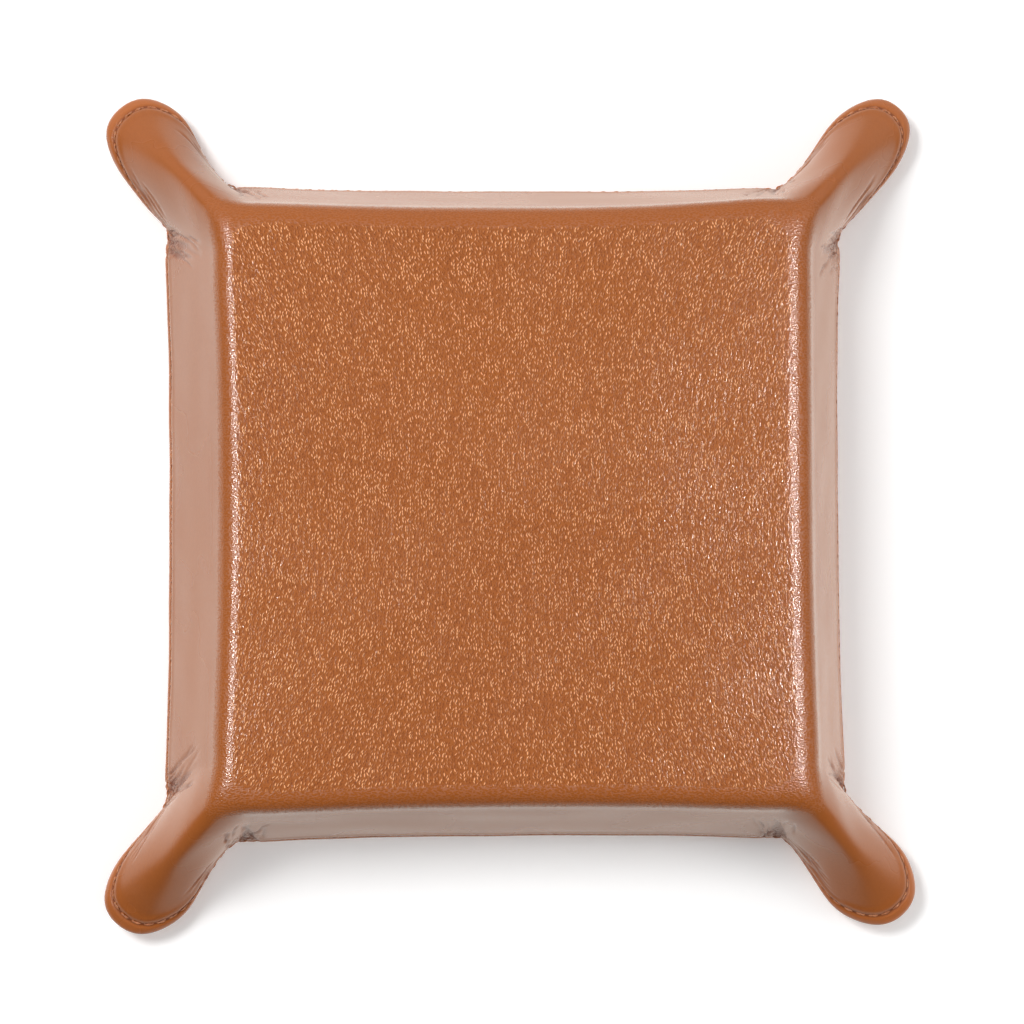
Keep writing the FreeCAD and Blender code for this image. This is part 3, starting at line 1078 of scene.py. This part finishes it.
def stage_material(name):
    """A white sheet that shows from its front only, and shades off to plain white away from the tray."""
    made, tree, shader = new_material(name)
    tree.nodes.remove(shader)
    place = object_place(tree)
    x, y, _ = split(tree, place)
    away = vector(tree, "LENGTH", vector(tree, "MULTIPLY", place, (1.0, 1.0, 0.0)), output="Value")
    lit = node(tree, "BsdfDiffuse", {"Color": colour(0.9, 0.9, 0.9)})
    glow = node(tree, "Emission", {"Color": colour(1, 1, 1), "Strength": sheet_own_light})
    near = node(tree, "AddShader", {0: lit, 1: glow})
    plain = node(tree, "Emission", {"Color": colour(1, 1, 1), "Strength": 1.0})
    front = node(tree, "MixShader", {0: remap(tree, away, *shadow_fades), 1: near, 2: plain})
    sideways = math_node(tree, "SUBTRACT", math_node(tree, "ABSOLUTE", x), math_node(tree, "ABSOLUTE", y))
    card = node(tree, "Mix", {0: remap(tree, sideways, *card_join),
                              2: remap(tree, y, *card_middle, *end_card_levels),
                              3: remap(tree, x, *card_middle, *side_card_levels)})
    card = times(tree, card, remap(tree, away, *card_fades, 1.0, 0.15))
    mirrored = node(tree, "Emission", {"Color": colour(1, 0.94, 0.87), "Strength": card})
    seen = node(tree, "LightPath", output="Is Camera Ray")
    front = node(tree, "MixShader", {0: seen, 1: mirrored, 2: front})
    back = node(tree, "NewGeometry", output="Backfacing")
    sheet = node(tree, "MixShader", {0: back, 1: front, 2: node(tree, "BsdfTransparent")})
    tree.links.new(sheet, tree.nodes["Material Output"].inputs["Surface"])
    return made


def stage_sheet(name, height, upward, half_hole, finish):
    """A wide level sheet, with a square hole in its middle if one is given."""
    corners = ((-1, -1), (1, -1), (1, 1), (-1, 1))
    points = [(x * sheet_reach, y * sheet_reach, height) for x, y in corners]
    faces = [(0, 1, 2, 3)]
    if half_hole:
        points += [(x * half_hole, y * half_hole, height) for x, y in corners]
        faces = [(side, (side + 1) % 4, (side + 1) % 4 + 4, side + 4) for side in range(4)]
    if not upward:
        faces = [face[::-1] for face in faces]
    sheet = mesh_object(name, points, faces)
    sheet.data.materials.append(finish)
    sheet.visible_diffuse = False
    sheet.visible_shadow = False
    sheet.visible_transmission = False
    sheet.visible_glossy = not upward
    sheet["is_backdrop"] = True


def lamp(name, toward, distance, size, power):
    """A soft box that looks at the tray's middle from the direction and distance given, in metres."""
    data = bpy.data.lights.new(name, "AREA")
    data.energy = power
    data.shape = "RECTANGLE"
    data.size, data.size_y = size
    box = add_object(name, data)
    way = Vector(toward).normalized()
    box.location = way * distance + Vector((0, 0, wall_height / 2 * MM))
    side = Vector((0, 1, 0)).cross(way).normalized()
    up = way.cross(side)
    box.rotation_euler = Matrix((side, up, way)).transposed().to_euler()
    box.visible_camera = False
    return box


def studio_lamps():
    """Soft boxes below for the photograph's view, with strips for its highlights, and one above."""
    key = lamp("key_below", (-0.54, -0.38, -1.0), 0.9, (0.26, 0.26), 5.2)
    fill = lamp("right_fill_below", (0.85, 0.2, -0.3), 0.7, (0.3, 0.3), 1.6)
    key.visible_glossy = fill.visible_glossy = False
    for name, x in (("left_strip_below", -0.53), ("right_strip_below", 0.53)):
        lamp(name, (x, 0.0, -0.85), 0.6, (0.08, 0.2), 3.4).visible_diffuse = False
    lamp("key_above", (-0.4, -0.5, 1.0), 1.1, (0.7, 0.7), 6.0)


def studio_world():
    """Even light, a darker world in reflections from behind and the horizon, and white to the camera."""
    world = bpy.data.worlds.new("studio")
    bpy.context.scene.world = world
    world.use_nodes = True
    tree = world.node_tree
    _, y, z = split(tree, node(tree, "TexCoord", output="Generated"))
    horizon = remap(tree, y, -0.8, 0.3, 0.85, 0.1)
    overhead = remap(tree, y, -0.35, 0.75, 0.5, 0.1)
    below = node(tree, "Mix", {0: remap(tree, z, -0.85, -0.3), 2: overhead, 3: horizon})
    mirrored = node(tree, "Mix", {0: remap(tree, z, -0.08, 0.12), 2: below, 3: 0.6})
    even = times(tree, remap(tree, z, -0.9, -0.1, world_level, 0.7 * world_level),
                 remap(tree, y, -0.9, 0.9, 1.5, 0.6))
    rays = node(tree, "LightPath").node.outputs
    strength = node(tree, "Mix", {0: rays["Is Glossy Ray"], 2: even, 3: mirrored})
    strength = node(tree, "Mix", {0: rays["Is Camera Ray"], 2: strength, 3: 1.0})
    tree.links.new(strength, tree.nodes["Background"].inputs["Strength"])
    tree.nodes["Background"].inputs["Color"].default_value = colour(1, 1, 1)


# The photograph's camera, found from the tray's outline: pixels are of its 1024 by 1024 frame
photo_side = 1024
camera_distance = 605.0
mm_per_pixel = 0.2
camera_tilt_x = 2.62
camera_tilt_y = 2.72
camera_roll = 0.28
view_centre_x = 3.135
view_centre_y = -7.3


def photo_camera():
    data = bpy.data.cameras.new("photo_camera")
    data.lens = camera_distance / mm_per_pixel * data.sensor_width / photo_side
    data.shift_x = -view_centre_x / photo_side
    data.shift_y = view_centre_y / photo_side
    camera = add_object("photo_camera", data)
    ahead = Vector((math.tan(math.radians(camera_tilt_x)), -math.tan(math.radians(camera_tilt_y)), 1))
    ahead.normalize()
    right = Vector((0, 1, 0)).cross(ahead).normalized()
    down = ahead.cross(right)
    turn = Matrix.Rotation(math.radians(camera_roll), 3, ahead)
    axes = Matrix((turn @ right, -(turn @ down), -ahead)).transposed().to_4x4()
    camera.matrix_world = Matrix.Translation(-ahead * camera_distance * MM) @ axes
    bpy.context.scene.camera = camera


def main():
    leather, lining = leather_material(), lining_material()
    thread, board = thread_material(), board_material()
    dress(leather_piece(), leather, ["outer_leather"], "tan_leather")
    dress(lining_piece(), lining, ["lining"], "lining_suede")
    outer_seam = seam_piece("outer_stitches", outer_lines, SEAM_PLACE, 1, outer_seam_seed)
    dress(outer_seam, thread, ["rim_thread_outer"], "sewing_thread")
    inner_seam = seam_piece("inner_stitches", shown_lining_lines, LINING_SEAM_PLACE, -1, inner_seam_seed)
    dress(inner_seam, thread, ["rim_thread_inner"], "sewing_thread")
    for name, cad_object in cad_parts.items():
        if name.endswith("board") or name.startswith("wall_board"):
            for slot in cad_object.material_slots:
                slot.material = board

    stage_sheet("floor", floor_height, True, None, stage_material("floor_white"))
    stage_sheet("backdrop", backdrop_height, False, backdrop_half_hole, stage_material("backdrop_white"))
    studio_world()
    studio_lamps()
    photo_camera()
    bpy.context.scene.view_settings.view_transform = "Standard"
    boxes = {"cad": cad_box, "visual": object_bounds()}


main()
